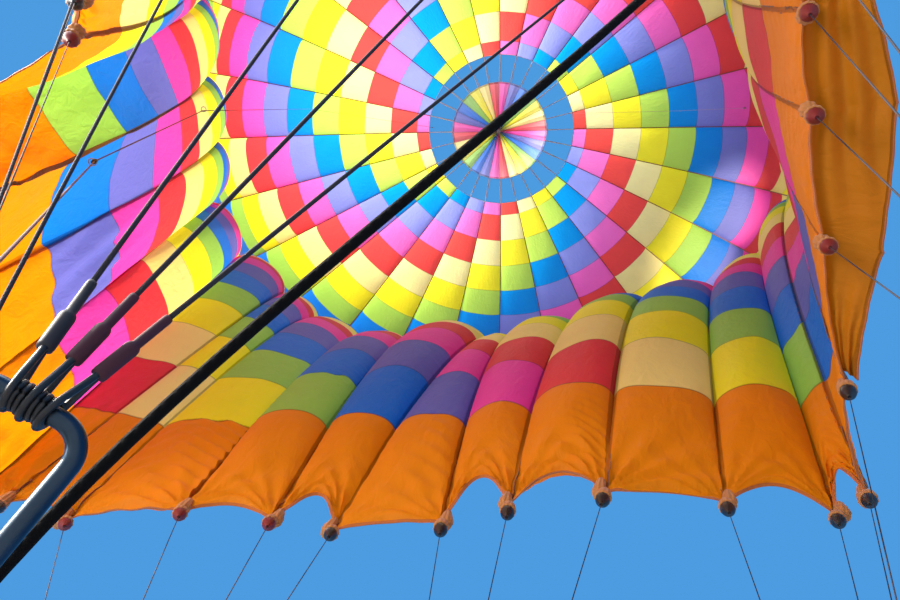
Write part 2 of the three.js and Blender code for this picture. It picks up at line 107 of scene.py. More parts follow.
# Coated ripstop nylon: thin cloth that glows where the light is behind it, with a soft sheen in front of
# it. Seams are doubled cloth, so they show darker against the light. The ripstop grid is 6 mm in the real
# cloth and is drawn at 30 mm so that it shows; patches of wear are about 0.8 m across, dents of handling 80
# to 200 mm.
def ripstopNylon(tree, values):
    lie = addNode(tree, "UVMap", {"uv_map": "lie"})
    colour = addNode(tree, "Attribute", {"attribute_name": "panelColour"}, "Color")
    gaps = [addNode(tree, "Attribute", {"attribute_name": name}, "Fac") for name in ("seamGap", "tapeGap")]
    for axis in addNode(tree, "SeparateXYZ", {0: lie}, slice(2)):
        squares = addNode(tree, "Math", {"operation": "DIVIDE", 0: axis, 1: values["grid"]})
        gaps.append(addNode(tree, "Math", {"operation": "PINGPONG", 0: squares, 1: 0.5}))
    edges = [(width * 0.7, width) for width in (values["seam"], values["tapeSeam"])] + [(0.02, 0.12)] * 2
    # 1 on a seam, a tape or a rib, 0 beside it
    bands = [addNode(tree, "MapRange", {
        "interpolation_type": "SMOOTHSTEP", "From Min": inner, "From Max": outer, "To Min": 1, "To Max": 0,
        "Value": gap}) for gap, (inner, outer) in zip(gaps, edges)]
    seam, ribs = [addNode(tree, "Math", {"operation": "MAXIMUM", 0: a, 1: b})
                  for a, b in (bands[:2], bands[2:])]
    place = addNode(tree, "TexCoord", {}, "Object")
    patches = addNode(tree, "TexNoise", {"Scale": 1.3, "Detail": 3, "Roughness": 0.6, "Vector": place})
    wear = addNode(tree, "MapRange", {"To Min": values["dim"], "To Max": 1.06, "Value": patches})
    doubled = addNode(tree, "Math", {"operation": "MULTIPLY_ADD", 0: seam, 1: values["seamShade"] - 1, 2: 1})
    shade = addNode(tree, "Math", {"operation": "MULTIPLY", 0: wear, 1: doubled})
    cloth = addNode(tree, "VectorMath", {"operation": "SCALE", 0: colour, "Scale": shade})
    stretched = addNode(tree, "Mapping", {"Scale": (5, 2.2, 1), 0: lie})
    dents = addNode(tree, "TexNoise", {"Scale": 2.4, "Detail": 5, "Roughness": 0.55, "Distortion": 0.6,
                                       "Vector": stretched})
    folded = addNode(tree, "Bump", {"Strength": 0.6, "Distance": 0.006, "Height": seam})
    dented = addNode(tree, "Bump", {"Strength": 0.35, "Distance": 0.05, "Height": dents, "Normal": folded})
    woven = addNode(tree, "Bump", {"Strength": 0.2, "Distance": 0.001, "Height": ribs, "Normal": dented})
    front = addNode(tree, "BsdfPrincipled", {
        "Roughness": 0.62, "Specular IOR Level": 0.22, "Sheen Weight": 0.03, "Sheen Roughness": 0.4,
        "Base Color": cloth, "Normal": woven})
    through = addNode(tree, "BsdfTranslucent", {"Color": cloth, "Normal": dented})
    return addNode(tree, "MixShader", {"Fac": values["through"], 1: front, 2: through})


# Woven or braided textile: slanting strands on the piece's own uv, v in metres along it and u in metres
# across a strap or in turns round a tube. Spacing is that of the strands in millimetres along v, turns
# their number for 1 of u.
def braided(tree, colour, spacing, turns, roughness=0.75, dark=0.55, sheen=0.2, relief=0.6, gloss=0.5):
    lie = addNode(tree, "UVMap", {"uv_map": "lie"})
    u, v = addNode(tree, "SeparateXYZ", {0: lie}, slice(2))
    u = addNode(tree, "Math", {"operation": "MULTIPLY", 0: u, 1: turns})
    v = addNode(tree, "Math", {"operation": "DIVIDE", 0: v, 1: spacing / 1000})
    slants = [addNode(tree, "Math", {"operation": way, 0: u, 1: v}) for way in ("ADD", "SUBTRACT")]
    one, two = [addNode(tree, "Math", {"operation": "PINGPONG", 0: slant, 1: 0.5}) for slant in slants]
    lower = addNode(tree, "Math", {"operation": "MINIMUM", 0: one, 1: two})
    weave = addNode(tree, "Math", {"operation": "MULTIPLY", 0: lower, 1: 2})
    # painted shade: the grooves between the strands are darkened to the share dark of the colour
    tone = addNode(tree, "Mix", {"data_type": "RGBA", "A": shaded(colour, dark), "B": linear(colour),
                                 "Factor": weave}, "Result")
    bump = addNode(tree, "Bump", {"Strength": relief, "Distance": spacing / 4000, "Height": weave})
    return addNode(tree, "BsdfPrincipled", {"Roughness": roughness, "Sheen Weight": sheen,
                                            "Specular IOR Level": gloss, "Base Color": tone, "Normal": bump})


# Solid finish with fine wear: patches of noise on Object coordinates, grain of them to the metre (60 makes
# them 17 mm wide), move the colour and roughness a little; scratches are nine times finer
def worn(tree, colour, roughness, metallic=0.0, grain=60, wear=0.15, bump=0.05):
    place = addNode(tree, "TexCoord", {}, "Object")
    noise = addNode(tree, "TexNoise", {"Scale": grain, "Detail": 6, "Roughness": 0.65, "Vector": place})
    scratches = addNode(tree, "TexNoise", {"Scale": grain * 9, "Detail": 2, "Vector": place})
    tone = addNode(tree, "Mix", {"data_type": "RGBA", "A": shaded(colour, 1 - wear),
                                 "B": shaded(colour, 1 + wear, wear * 0.05), "Factor": noise}, "Result")
    rough = addNode(tree, "MapRange", {"To Min": roughness - 0.1, "To Max": roughness + 0.12, "Value": noise})
    fine = addNode(tree, "Bump", {"Strength": bump, "Distance": 0.0005, "Height": scratches})
    return addNode(tree, "BsdfPrincipled", {"Metallic": metallic, "Base Color": tone, "Roughness": rough,
                                            "Normal": fine})


# Plain gathered cloth: folds about 7 mm apart round a pocket and 23 mm long, as relief and as painted shade
# in their depth
def gatheredCloth(tree, colour, roughness=0.75, through=0.2):
    lie = addNode(tree, "UVMap", {"uv_map": "lie"})
    stretched = addNode(tree, "Mapping", {"Scale": (14, 22, 1), 0: lie})
    noise = addNode(tree, "TexNoise", {"Scale": 2, "Detail": 5, "Distortion": 0.8, "Vector": stretched})
    tone = addNode(tree, "Mix", {"data_type": "RGBA", "A": shaded(colour, 0.7), "B": linear(colour),
                                 "Factor": noise}, "Result")
    bump = addNode(tree, "Bump", {"Strength": 0.7, "Distance": 0.004, "Height": noise})
    front = addNode(tree, "BsdfPrincipled", {"Roughness": roughness, "Sheen Weight": 0.2, "Base Color": tone,
                                             "Normal": bump})
    back = addNode(tree, "BsdfTranslucent", {"Color": tone})
    return addNode(tree, "MixShader", {"Fac": through, 1: front, 2: back})


clothFinish = {"dim": 0.9, "seam": 0.011, "tapeSeam": 0.015, "seamShade": 0.6, "grid": 0.03, "through": 0.42}
nylon = newMaterial("ripstop_nylon", ripstopNylon, clothFinish)
# the parachute's lighter cloth lets more light through
thinNylon = newMaterial("ripstop_nylon", ripstopNylon, {**clothFinish, "dim": 1.0, "through": 0.85})
# woven tape, matt; the tapes on the seams take the colour of the cloth, the hem's is a shade darker than it
webbing = newMaterial("polyester_load_tape", braided, "dfe4ea", 4, 400, roughness=0.8)
tapeCloth = newMaterial("brown_load_tape", braided, "8a4c20", 4, 400, roughness=0.8)
hemWebbing = newMaterial("orange_hem_tape", braided, "c46606", 4, 400, roughness=0.8)
pocketCloth = newMaterial("tan_pocket_cloth", gatheredCloth, "c4813f")  # soft cloth, matt
redCap = newMaterial("red_moulded_cap", worn, "6a0707", 0.55)           # dull moulded plastic
blackCap = newMaterial("black_moulded_cap", worn, "08080a", 0.45)
# twisted steel strands, dull; they aren't declared as metal, so that they stay dark against the sky
strandedWire = newMaterial("stainless_stranded_wire", braided, "2c2a32", 6, 3, roughness=0.8, dark=0.85,
                           sheen=0.0, relief=0.2, gloss=0.3)
darkSleeve = newMaterial("dark_shrunk_sleeve", worn, "17131b", 0.6, wear=0.08)          # shrunk tube, dull
redSleeve = newMaterial("wine_red_shrunk_sleeve", worn, "3c041a", 0.7, wear=0.08)
blackCoat = newMaterial("black_coated_wire", worn, "0b0d12", 0.45, wear=0.08)           # smooth plastic coat
# smooth metal with worn edges
anodised = newMaterial("blue_grey_anodised_aluminium", worn, "34424f", 0.34, 1.0, grain=45, wear=0.25,
                       bump=0.12)
steel = newMaterial("brushed_steel", worn, "8a9096", 0.35, 1.0, grain=80, wear=0.12, bump=0.1)  # soft gleam
# plaits 8 mm apart, drawn at 12 so that they show; no shine
rope = newMaterial("black_braided_rope", braided, "060607", 12, 4, roughness=0.9, dark=0.8, sheen=0.0,
                   relief=0.25, gloss=0.15)
# plaits 3 mm apart, drawn at 8 so that they show; matt with a faint sheen
redCord = newMaterial("dark_red_braided_cord", braided, "6e0e18", 8, 4, dark=0.5)
paleCord = newMaterial("pale_pink_braided_cord", braided, "d9a9b4", 8, 4, dark=0.6)
xAxis, yAxis, zAxis = np.eye(3)


def unit(vectors):
    return vectors / np.maximum(np.linalg.norm(vectors, axis=-1, keepdims=True), 1e-12)


def smooth(x, low, high):  # 0 up to low, 1 from high, level at both ends
    t = np.clip((x - low) / (high - low), 0, 1)
    return t * t * (3 - 2 * t)


def heading(angle):  # level direction at an angle
    return np.array([math.cos(angle), math.sin(angle), 0])


def crosswise(a):  # the axis furthest from a direction
    return np.eye(3)[np.argmin(abs(a))]


def circle(centre, radius, first, second, count):  # centre plus radius times first * cos + second * sin
    turn = 2 * np.pi * np.arange(count)[:, None] / count
    return centre + radius * (np.cos(turn) * first + np.sin(turn) * second)


def distances(path, closed=False):  # metres along a path at each point, and round to the first one
    path = np.vstack([path, path[:1]]) if closed else path
    return np.append(0, np.cumsum(np.linalg.norm(np.diff(path, axis=0), axis=1)))


def tangents(path, closed=False):
    return unit(np.roll(path, -1, 0) - np.roll(path, 1, 0) if closed else np.gradient(path, axis=0))


# A grid that is closed round its columns; its uv is across and along
def roundGrid(points, across, along, closed=False, flat=False):
    uv = np.stack(np.broadcast_arrays(across[None], along[:, None]), -1)
    return {"points": points, "uv": uv, "around": True, "along": closed, "flat": flat}


# A tube: round every path point stands a ring, side * cos + (tangent x side) * sin, times the radius there.
# Reference is a direction that the path never runs along; uv is turns round it and metres along it.
def tube(path, radius, sides=12, reference=zAxis, closed=False):
    path = np.asarray(path, float)
    tangent = tangents(path, closed)
    normal = unit(np.cross(tangent, np.asarray(reference, float)))
    turn = 2 * np.pi * np.arange(sides)[:, None] / sides
    ring = normal[:, None] * np.cos(turn) + np.cross(tangent, normal)[:, None] * np.sin(turn)
    points, across = path[:, None] + ring * radius, np.arange(sides + 1) / sides
    return roundGrid(points, across, distances(path, closed), closed)


# A turned shape: rings along a direction follow (distance, radius) rows; lobes waver the radius by a cosine
def turned(start, direction, profile, sides=24, lobes=0, lobeDepth=0.0):
    profile = np.asarray(profile, float)
    direction = unit(np.asarray(direction, float))
    path = np.asarray(start, float) + profile[:, :1] * direction
    ring = tube([start, start + direction], 1, sides, crosswise(direction))["points"][0] - start
    size = profile[:, 1:] * (1 + lobeDepth * np.cos(lobes * 2 * np.pi * np.arange(sides) / sides))
    return roundGrid(path[:, None] + ring * size[..., None], np.arange(sides + 1) / sides, distances(profile))


# A strap: along the path stands a flat four-cornered section, wide across and thick outwards
def strap(path, outward, width, thickness, closed=False):
    tangent = tangents(path, closed)
    across = unit(np.cross(tangent, unit(outward)))
    outward = np.cross(across, tangent)
    corners = np.array([[-1, -1], [1, -1], [1, 1], [-1, 1]]) / 2
    points = path[:, None] + across[:, None] * corners[:, :1] * width
    points = points + outward[:, None] * corners[:, 1:] * thickness
    edge = np.append(0, np.cumsum([width, thickness, width, thickness]))
    return roundGrid(points, edge, distances(path, closed), closed, flat=True)


# One mesh from several grids. Faces run between neighbouring rows and columns, and round again where the grid
# says around or along; a tube that isn't closed along gets one flat face at each end, unless it is open.
def joinGrids(name, grids, materials, body="envelope", stands=()):
    vertices, corners, totals, uvs, finish, soft = [], [], [], [], [], []
    count = 0
    for grid in grids:
        points, uv = grid["points"], grid["uv"]
        rows, columns = points.shape[:2]
        i = np.arange(rows if grid.get("along") else rows - 1)[:, None]
        j = np.arange(columns if grid.get("around") else columns - 1)[None]
        i, j = (a.ravel() for a in np.broadcast_arrays(i, j))
        down, right = (i + 1) % rows, (j + 1) % columns
        quads = [i * columns + j, i * columns + right, down * columns + right, down * columns + j]
        quads = np.stack(quads, -1)
        corners.append(quads.ravel() + count)
        uvs.append(np.stack([uv[i, j], uv[i, j + 1], uv[i + 1, j + 1], uv[i + 1, j]], 1).reshape(-1, 2))
        totals.append(np.full(len(quads), 4))
        faces = len(quads)
        if grid.get("around") and not grid.get("along") and not grid.get("open"):
            first, last = np.arange(columns)[::-1], (rows - 1) * columns + np.arange(columns)
            corners += [first + count, last + count]
            uvs += [uv[0, first], uv[-1, :columns]]
            totals.append(np.full(2, columns))
            faces += 2
        finish.append(np.full(faces, grid.get("finish", 0)))
        soft.append(np.full(faces, not grid.get("flat", False)))
        vertices.append(points.reshape(-1, 3))
        count += rows * columns
    vertices, corners, totals = np.concatenate(vertices), np.concatenate(corners), np.concatenate(totals)
    mesh = bpy.data.meshes.new(name)
    mesh.vertices.add(len(vertices))
    mesh.vertices.foreach_set("co", vertices.astype(np.float32).ravel())
    mesh.loops.add(len(corners))
    mesh.loops.foreach_set("vertex_index", corners.astype(np.int32))
    mesh.polygons.add(len(totals))
    mesh.polygons.foreach_set("loop_start", (np.cumsum(totals) - totals).astype(np.int32))
    mesh.polygons.foreach_set("material_index", np.concatenate(finish).astype(np.int32))
    mesh.update(calc_edges=True)
    mesh.polygons.foreach_set("use_smooth", np.concatenate(soft))
    mesh.uv_layers.new(name="lie").data.foreach_set("uv", np.concatenate(uvs).astype(np.float32).ravel())
    for material in materials:
        mesh.materials.append(material)
    piece = addObject(name, mesh)
    if body:
        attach(piece, body)
    if stands:
        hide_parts(*stands)
    return piece


# What the cloth's material reads: metres to the nearest tape and seam at each point, a colour at each face
# corner
def clothValues(piece, tapeGap, seamGap, colour):
    mesh = piece.data
    for name, gap in zip(("tapeGap", "seamGap"), np.broadcast_arrays(tapeGap, seamGap)):
        mesh.attributes.new(name, "FLOAT", "POINT").data.foreach_set("value", gap.astype(np.float32).ravel())
    colour = np.broadcast_to(colour, (len(mesh.loops), 4)).astype(np.float32)
    layer = mesh.color_attributes.new("panelColour", "FLOAT_COLOR", "CORNER")
    layer.data.foreach_set("color", colour.ravel())


# The envelope's own sizes, in metres, as the CAD has them
envelope = {
    "gores": 28,
    "axis": (-0.727, -0.312),
    "apex": 24.05,
    "ventArc": 2.5,
    "crownBend": 3.763e-2,
    "pressureHeight": 14.676,
    "arcStep": 0.025,
    "mouthHeight": 2.5,
    "seamHeight": 3.9,
    "equatorHandle": 5.0,
    "mouthHandle": 8.5,
    "fullBulge": 0.14,
    "slackBulge": -0.34,
    "slackFrom": 0.3,
    "slackTo": 0.62,
    "lowBulgeFrom": 0.7,
    "hemBulge": -0.05,
    "hemStep": 0.4,
    "skin": 0.005,
}
# Lower end of each load tape: x, y from the crown axis, the same 1.4 m higher; for the gore on its right
# the bulge a metre above the hem and the rise of the hem
tapeEnds = np.array([
    (-0.12, 1.54, 0.03, 1.52, -0.3, 0.015), (0.38, 1.48, 0.41, 1.485, -0.3, 0.27),
    (0.68, 1.38, 0.83, 1.395, -0.3, 0.15), (1.09, 1.3, 1.31, 1.24, -0.2, 0.015),
    (1.59, 1.33, 1.88, 1.3, -0.3, 0.15), (2.04, 1.37, 2.34, 1.28, -0.1, 0.25),
    (2.15, 1.27, 2.44, 1.09, 0.1, 0.06), (2.01, 0.79, 2.41, 0.76, 0.05, 0.015),
    (1.87, 0.23, 2.22, 0.17, 0, 0.015), (1.77, -0.25, 2.03, -0.36, 0, 0.015),
    (1.71, -0.6, 1.92, -0.79, 0, 0.015), (1.64, -0.9, 1.83, -1.13, -0.1, 0.015),
    (1.57, -1.17, 1.75, -1.41, -0.1, 0.06), (1.22, -1.44, 1.34, -1.71, -0.25, 0.08),
    (0.6, -1.47, 0.67, -1.77, -0.3, 0.08), (-0.05, -1.5, -0.07, -1.8, -0.3, 0.06),
    (-0.62, -1.35, -0.8, -1.64, 0.2, 0.04), (-0.98, -0.74, -1.34, -1.13, 0.1, 0),
    (-1.02, -0.61, -1.52, -0.82, -0.1, 0.015), (-1.78, -0.31, -2.03, -0.61, 0.1, 0.04),
    (-1.54, 0.02, -1.79, -0.17, 0.1, 0.015), (-1.98, 0.52, -2.06, 0.35, -0.1, 0.06),
    (-1.94, 1, -2.17, 0.87, -0.1, 0.06), (-1.93, 1.48, -2.08, 1.38, -0.05, 0.04),
    (-1.76, 1.48, -1.77, 1.43, -0.1, 0.06), (-1.43, 1.55, -1.48, 1.52, -0.1, 0.015),
    (-0.84, 1.47, -0.93, 1.55, -0.3, 0.08), (-0.41, 1.5, -0.44, 1.54, -0.34, 0.21),
])
goreCount = envelope["gores"]
goreAngle = 2 * math.pi / goreCount
equatorRow, mouthRow = 5, 15  # rows of a tape are counted from the edge of the vent
axisX, axisY = envelope["axis"]
apex = np.array([axisX, axisY, envelope["apex"]])


def tapeAngle(tape):  # tapes are counted clockwise from above, from the +Y side
    return math.pi / 2 - tape * goreAngle


# Natural meridian: the bend grows with the radius and with the height, step by step until it hangs straight
def naturalMeridian(values):
    rows = [(0.0, 0.0, 0.0)]
    step = values["arcStep"]
    while rows[-1][2] < math.pi / 2:
        r, drop, bend = rows[-1]
        rate = values["crownBend"] * r * (1 - drop / values["pressureHeight"])
        middle = bend + rate * step / 2
        rows.append((r + step * math.cos(middle), drop + step * math.sin(middle), bend + rate * step))
    return np.array(rows)


meridian = naturalMeridian(envelope)
equatorArc = (len(meridian) - 1) * envelope["arcStep"]


# A point of the upper cloth by its angle and its distance along the cloth from the apex
def crownPoint(angle, arc):
    arcs = np.arange(len(meridian)) * envelope["arcStep"]
    r = np.interp(arc, arcs, meridian[:, 0])
    z = envelope["apex"] - np.interp(arc, arcs, meridian[:, 1])
    return np.stack(np.broadcast_arrays(axisX + r * np.cos(angle), axisY + r * np.sin(angle), z), -1)


# A load tape: the meridian down to the equator, then a cubic curve whose last handle leans to the seam
def tapePoint(tape, row):
    tape, row = np.broadcast_arrays(np.asarray(tape, float), np.asarray(row, float))
    angle = tapeAngle(tape)
    share = np.clip(row, 0, equatorRow) / equatorRow
    upper = crownPoint(angle, envelope["ventArc"] + (equatorArc - envelope["ventArc"]) * share)
    low = np.floor(tape + 1e-9).astype(int)
    share = (tape - low)[..., None]
    ends = tapeEnds[low % goreCount] * (1 - share) + tapeEnds[(low + 1) % goreCount] * share
    height = np.ones(tape.shape + (1,))
    last = np.concatenate([ends[..., :2] + (axisX, axisY), height * envelope["mouthHeight"]], -1)
    seam = np.concatenate([ends[..., 2:4] + (axisX, axisY), height * envelope["seamHeight"]], -1)
    first = crownPoint(angle, equatorArc)
    second = first - (0, 0, envelope["equatorHandle"])
    third = last + unit(seam - last) * envelope["mouthHandle"]
    t = np.clip((row - equatorRow) / (mouthRow - equatorRow), 0, 1)[..., None]
    lower = first * (1 - t) ** 3 + 3 * second * t * (1 - t) ** 2 + 3 * third * t * t * (1 - t) + last * t ** 3
    return np.where((row <= equatorRow)[..., None], upper, lower)


# Level panels: seams 0.9 m apart, the last one above the orange hem panel, whose colour comes last. The
# pale colours are painted light: the cloth is drawn paler at the vent, where the crown shows brightest,
# and gives way to the others down to the arc where this painted light ends.
# Arch is metres of cloth across a metre of gore. RowsFrom says from which panel on how many rows of faces a
# panel has.
panels = {
    "firstSeam": 2.933,
    "height": 0.9,
    "count": 28,
    "turnsAt": 17,
    "hemArc": 28.265,
    "across": 26,
    "rowsFrom": ((1, 4), (2, 8), (18, 10), (23, 18), (29, 80)),
    "arch": 1.35,
    "colours": ("e2363c", "f7dc78", "f7e81c", "98c84c", "1070d0", "6466b4", "f03fa0", "ea8404"),
    # painted light: paler colours at the vent, fading out down to the arc on the next line
    "paintedLightColours": ("f6564e", "fcf6aa", "fcf43a", "c8ee62", "08a0ea", "949eea", "f87ccc", "ea8404"),
    "paintedLightTo": 11.0,
    "flat": (1.85, 25.8),
    "area": 33.0,
}


def panelRows():  # (arc of every row, panel number of every strip between two rows)
    arcs, numbers = [envelope["ventArc"]], []
    for number in range(1, panels["count"] + 2):
        last = number > panels["count"]
        bottom = panels["hemArc"] if last else panels["firstSeam"] + panels["height"] * (number - 1)
        steps = [rows for first, rows in panels["rowsFrom"] if number >= first][-1]
        arcs += list(np.linspace(arcs[-1], bottom, steps + 1)[1:])
        numbers += [number] * steps
    return np.array(arcs), np.array(numbers)


arcs, panelNumbers = panelRows()


# Rows of a tape at equal shares of its length, so that the level seams meet from gore to gore
def rowsAtArcs(tape, arcs):
    places = np.linspace(equatorRow, mouthRow, 401)
    length = distances(tapePoint(tape, places))
    share = (arcs - equatorArc) / (panels["hemArc"] - equatorArc)
    upper = equatorRow * (arcs - envelope["ventArc"]) / (equatorArc - envelope["ventArc"])
    return np.where(arcs < equatorArc, upper, np.interp(share * length[-1], length, places))


# Folds of the cloth, as metres outwards. Fans: cosine of the angle round a tape end, fading with distance.
# Puckers: sine along a tape, fading beside it. Creases: cosine across a slanting line, inside a soft
# window. Unevenness: a few long waves.
folds = {
    "fanDepth": 0.018, "fanReach": 0.4, "fanCount": 15, "fanShift": 1.7, "fanFrom": (0.02, 0.12),
    "pucker": 0.0025, "puckerLength": 0.14, "puckerReach": 0.09, "puckerFrom": (0, 0.02),
    "uneven": 0.012, "unevenFrom": (0, 0.5),
    # how strong the fan is at the left and right end of the hem of each gore
    "fans": {0: (0.5, 0.9), 1: (0.8, 0.9), 2: (1.1, 1.2), 3: (1.3, 0.6), 4: (0.6, 0.5), 5: (0.8, 0.6),
             6: (0.6, 0.2), 7: (0.2, 0.2), 8: (0.2, 0.2), 9: (0.2, 0.2), 10: (0.2, 0.4), 24: (0.7, 0.6),
             25: (0.9, 1.5), 26: (0.8, 0.8), 27: (0.7, 0.9)},
    "otherFans": (0.8, 0.8),
    # gore, where across, height above the hem, reach across, reach up, slant in degrees, spacing, depth
    "creases": (
        (25, 0.75, 0.75, 0.35, 0.8, 58, 0.1, 0.013), (25, 0.3, 0.5, 0.3, 0.6, -50, 0.12, 0.006),
        (26, 0.8, 1.9, 0.3, 0.5, 55, 0.1, 0.010), (0, 0.75, 0.5, 0.3, 0.6, 50, 0.12, 0.006),
        (2, 0.8, 0.35, 0.2, 0.4, 60, 0.08, 0.008), (4, 0.85, 1.5, 0.2, 0.5, 60, 0.09, 0.008),
        (6, 0.5, 1.0, 0.6, 1.2, 4, 0.16, 0.004), (7, 0.5, 0.5, 0.6, 0.8, 3, 0.13, 0.002),
        (8, 0.5, 0.5, 0.6, 0.8, -4, 0.12, 0.002), (9, 0.5, 0.5, 0.6, 0.8, 5, 0.13, 0.002),
        (16, 0.5, 0.9, 0.6, 1.0, 4, 0.14, 0.004), (17, 0.5, 0.8, 0.6, 1.0, -4, 0.08, 0.004),
        (18, 0.5, 0.7, 0.6, 1.0, 4, 0.16, 0.003), (19, 0.5, 1.0, 0.6, 1.2, 4, 0.19, 0.003),
        (20, 0.5, 0.9, 0.5, 1.2, -4, 0.16, 0.003), (21, 0.45, 1.7, 0.5, 0.7, 8, 0.2, 0.028),
        (22, 0.5, 0.8, 0.5, 0.8, 6, 0.13, 0.006), (23, 0.5, 0.6, 0.5, 0.7, -6, 0.1, 0.006)),
}


def foldDepth(gore, across, width, above):
    fans = np.array([folds["fans"].get(k, folds["otherFans"]) for k in range(goreCount)])[gore]
    depth = 0 * across
    for side, offset in ((0, across * width), (1, (1 - across) * width)):
        reach = np.hypot(offset, above)
        turn = folds["fanCount"] * np.arctan2(above, offset) + folds["fanShift"] * gore
        fade = np.exp(-reach / folds["fanReach"]) * smooth(reach, *folds["fanFrom"])
        wave = np.sin(2 * np.pi * above / folds["puckerLength"] + gore + 2 * side)
        depth = depth + folds["fanDepth"] * fans[..., side] * fade * np.cos(turn)
        wave = wave * np.exp(-offset / folds["puckerReach"]) * smooth(offset, *folds["puckerFrom"])
        depth = depth + folds["pucker"] * wave
    for number, place, height, wide, tall, slant, spacing, size in folds["creases"]:
        u, v = across - place, above - height
        window = np.exp(-(u / wide) ** 2 - (v / tall) ** 2) * (gore == number)
        line = u * width * math.cos(math.radians(slant)) + v * math.sin(math.radians(slant))
        depth = depth + size * window * np.cos(2 * np.pi * line / spacing + 0.8 * np.sin(3 * v + number))
    waves = np.sin(1.9 * above + 2.1 * gore) * np.sin(math.pi * across) + 0.5 * np.sin(
        4.3 * above - 3.3 * gore) * np.sin(2 * math.pi * across)
    return depth + folds["uneven"] * waves * np.sin(math.pi * across) * smooth(above, *folds["unevenFrom"])


# The whole cloth as one closed ring of columns. Between two tapes a point is the straight line from tape to
# tape plus a half ellipse outwards, as deep as the bulge there; the hem is lifted between its two tapes.
def clothSurface():
    n = panels["across"]
    gore = np.repeat(np.arange(goreCount), n)
    across = np.tile((1 - np.cos(math.pi * np.arange(n) / n)) / 2, goreCount)
    tapeRows = np.stack([rowsAtArcs(k, arcs) for k in range(goreCount)], 1)
    row = tapeRows[:, gore] * (1 - across) + tapeRows[:, (gore + 1) % goreCount] * across
    gore, across = (np.broadcast_to(a, row.shape) for a in (gore, across))
    # metres to rows at the curve's lower end
    lift = tapeEnds[gore, 5] * (mouthRow - equatorRow) / (3 * envelope["mouthHandle"])
    hemRow = mouthRow - envelope["hemStep"]
    row = row - smooth(row, hemRow, mouthRow) * lift * np.sin(math.pi * across)
    a, b = tapePoint(gore, row), tapePoint(gore + 1.0, row)
    above, below = np.maximum(row - 0.3, 0), np.minimum(row + 0.3, mouthRow)
    down = unit(tapePoint(gore + 0.5, below) - tapePoint(gore + 0.5, above))
    sideways = b - a
    outward = unit(np.cross(sideways, down))
    chord = np.linalg.norm(sideways, axis=-1)
    bulge = envelope["fullBulge"]
    for last, start, end in ((envelope["slackBulge"], envelope["slackFrom"], envelope["slackTo"]),
                             (tapeEnds[gore, 4], envelope["lowBulgeFrom"], 1),
                             (envelope["hemBulge"], hemRow / mouthRow, 1)):
        bulge = bulge + (last - bulge) * smooth(row / mouthRow, start, end)
    arch = np.sqrt(np.maximum(0, 1 - (2 * across - 1) ** 2))
    points = a + sideways * across[..., None] + outward * (bulge * chord * arch)[..., None]
    above = (panels["hemArc"] - arcs)[:, None] + 0 * across
    points = points + outward * foldDepth(gore, across, chord, above)[..., None]
    wrapped = np.concatenate([points[:, -1:], points, points[:, :1]], 1)
    normal = unit(np.cross(wrapped[:, 2:] - wrapped[:, :-2], np.gradient(points, axis=0)))
    return points + normal * envelope["skin"], normal, across, chord


cloth, clothNormal, clothAcross, clothChord = clothSurface()
print("cloth surface", cloth.shape)


# One gore: its columns of the cloth. Panels step one colour further from gore to gore, and back below
# turnsAt.
def gorePiece(gore):
    n = panels["across"]
    columns = np.arange(gore * n, gore * n + n + 1) % cloth.shape[1]
    share = np.append(clothAcross[0, columns[:-1]], 1.0)
    width = clothChord[:, columns[n // 2]][:, None]
    uv = np.stack(np.broadcast_arrays((share - 0.5) * width, arcs[:, None]), -1)
    piece = joinGrids("gore_%02d_cloth" % (gore + 1), [{"points": cloth[:, columns], "uv": uv}], [nylon],
                      stands=["gore_%02d" % (gore + 1)])
    first, height = panels["firstSeam"], panels["height"]
    lastSeam = first + height * (panels["count"] - 1)
    level = np.where(arcs > lastSeam, arcs - lastSeam, abs((arcs - first + height / 2) % height - height / 2))
    index = (gore + np.minimum(panelNumbers, 2 * panels["turnsAt"] - panelNumbers) - 1) % 7
    index = np.where(panelNumbers > panels["count"], 7, index)
    # painted light: towards the vent each panel's colour is mixed with its paler one
    pale = (1 - smooth((arcs[1:] + arcs[:-1]) / 2, envelope["ventArc"], panels["paintedLightTo"]))[:, None]
    full, light = (np.array([linear(c) for c in panels[key]])[index] for key in ("colours", "paintedLightColours"))
    colour = np.repeat(full * (1 - pale) + light * pale, n * 4, axis=0)
    clothValues(piece, np.minimum(share, 1 - share) * width * panels["arch"], level[:, None], colour)


for gore in range(goreCount):
    gorePiece(gore)
print("gores", goreCount)

# Load tapes on the outside of the seams, edge tape of the vent and binding of the hem
tapes = {"width": 0.025, "thickness": 0.002, "stand": 0.002, "hemWidth": 0.015, "hemThickness": 0.005,
         "hemOver": 0.003}


def loadTapes():
    rows = np.unique(np.append(np.arange(0, len(arcs), 3), len(arcs) - 1))
    grids = []
    for tape in range(goreCount):
        outward = clothNormal[rows, tape * panels["across"]]
        path = cloth[rows, tape * panels["across"]] + outward * (tapes["stand"] + tapes["thickness"] / 2)
        grids.append(strap(path, outward, tapes["width"], tapes["thickness"]))
    joinGrids("load_tapes", grids, [tapeCloth])


# Binding folded over an edge: a strap set on that row of the cloth, standing a little over both faces
def edgeBinding(name, row, inner, material):
    path = cloth[row] + unit(cloth[inner] - cloth[row]) * (tapes["hemWidth"] / 2 - tapes["hemOver"])
    grid = strap(path, clothNormal[row], tapes["hemWidth"], tapes["hemThickness"], True)
    joinGrids(name, [grid], [material])


# Scoop panel, hung outside the hem of four gores on the right: it reaches outward and down from the hem
# Its colour is painted shade: a darker orange than the hem panels' own, because that side hangs in shade
scoop = {"from": 7.1, "to": 11, "outside": 0.014, "top": 0.05, "bottom": -0.07, "endReach": 0.014,
         "reach": 0.222, "taper": 1.1, "columns": 170, "rows": 34, "sag": 0.95, "fold": 0.014, "meets": 8,
         "fanDepth": 0.003, "fanReach": 0.2, "fanCount": 13, "fanTapes": (9, 10), "edge": 0.004,
         "colour": "c8740a", "flat": (2.0, 0.3), "area": 0.45}


